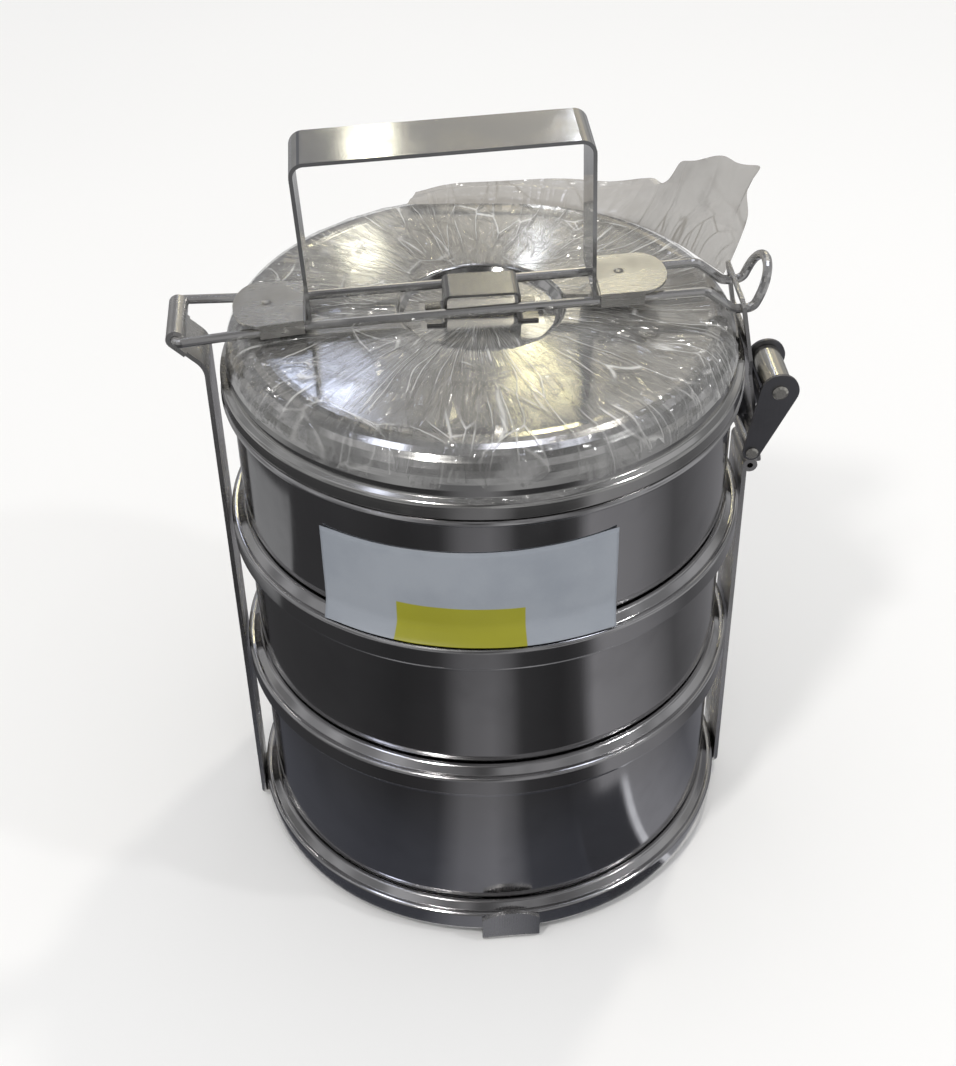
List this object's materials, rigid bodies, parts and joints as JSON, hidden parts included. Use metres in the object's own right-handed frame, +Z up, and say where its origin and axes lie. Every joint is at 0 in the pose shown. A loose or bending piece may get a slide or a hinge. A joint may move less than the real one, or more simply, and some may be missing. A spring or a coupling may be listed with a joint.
{
  "type": "tiffin carrier",
  "caption": "Stack of three polished steel food bowls with a domed lid, held in a strap cradle by a hinged wire bail with a grip and a side latch.",
  "frame": {"origin": "centre of the underside, on the surface that the cradle stands on", "axes": "+Z up; +X from the hinge side of the bail towards the latch; -Y towards the front, where the label is"},
  "size_m": [0.2002, 0.1754, 0.2626],
  "materials": {
    "cradle_strap": "satin stainless steel",
    "cross_strap": "satin stainless steel",
    "lower_bowl": "polished stainless steel",
    "lower_base_ring": "polished stainless steel",
    "middle_bowl": "polished stainless steel",
    "middle_base_ring": "polished stainless steel",
    "upper_bowl": "polished stainless steel",
    "upper_base_ring": "polished stainless steel",
    "price_label": "smooth white sticker paper",
    "lid": "polished stainless steel",
    "lid_bridge": "satin stainless steel",
    "packing_film": "clear crumpled plastic film",
    "bail_wire": "bright drawn stainless steel",
    "grip_handle": "satin stainless steel",
    "left_clamp_plate": "satin stainless steel",
    "right_clamp_plate": "satin stainless steel",
    "latch_link": "satin stainless steel",
    "latch_lever": "satin stainless steel",
    "lever_pin": "satin stainless steel",
    "latch_roller": "bright drawn stainless steel",
    "roller_pin": "satin stainless steel"
  },
  "bodies": {
    "cradle": {"cradle_strap": "cradle_strap", "cross_strap": "cross_strap"},
    "lower": {"lower_bowl": "lower_bowl", "lower_base_ring": "lower_base_ring"},
    "middle": {"middle_bowl": "middle_bowl", "middle_base_ring": "middle_base_ring"},
    "upper": {"upper_bowl": "upper_bowl", "upper_base_ring": "upper_base_ring", "price_label": "price_label"},
    "lid_body": {"lid": "lid", "lid_bridge": "lid_bridge", "packing_film": "packing_film"},
    "bail": {"bail_wire": "bail_wire", "grip_handle": "grip_handle", "left_clamp_plate": "left_clamp_plate", "right_clamp_plate": "right_clamp_plate"},
    "link": {"latch_link": "latch_link", "lever_pin": "lever_pin"},
    "lever": {"latch_lever": "latch_lever", "roller_pin": "roller_pin"},
    "roller": {"latch_roller": "latch_roller"}
  },
  "joints": [
    {"name": "bail_hinge", "type": "hinge", "parent": "cradle", "child": "bail", "pos_m": [-0.09495, 0, 0.204], "axis": [0, -1, 0], "range_deg": [0, 105]},
    {"name": "link_swing", "type": "hinge", "parent": "bail", "child": "link", "pos_m": [0.08139, 0, 0.20243], "axis": [0, -1, 0], "range_deg": [0, 22]},
    {"name": "lever_swing", "type": "hinge", "parent": "link", "child": "lever", "pos_m": [0.08847, 0, 0.14821], "axis": [0, 1, 0], "range_deg": [0, 150]},
    {"name": "roller_spin", "type": "hinge", "parent": "lever", "child": "roller", "pos_m": [0.09577, 0, 0.1715], "axis": [0, 1, 0], "continuous": true},
    {"name": "lid_lift", "type": "slide", "parent": "cradle", "child": "lid_body", "axis": [0, 0, 1], "range_m": [0, 0.03363]},
    {"name": "upper_lift", "type": "slide", "parent": "cradle", "child": "upper", "axis": [0, 0, 1], "range_m": [0, 0.02523]},
    {"name": "middle_lift", "type": "slide", "parent": "cradle", "child": "middle", "axis": [0, 0, 1], "range_m": [0, 0.01682]},
    {"name": "lower_lift", "type": "slide", "parent": "cradle", "child": "lower", "axis": [0, 0, 1], "range_m": [0, 0.00841]}
  ],
  "couplings": [
    {"joint": "lid_lift", "follows": "bail_hinge", "m_per_rad": 0.018335},
    {"joint": "upper_lift", "follows": "bail_hinge", "m_per_rad": 0.013751},
    {"joint": "middle_lift", "follows": "bail_hinge", "m_per_rad": 0.0091673},
    {"joint": "lower_lift", "follows": "bail_hinge", "m_per_rad": 0.0045837}
  ]
}
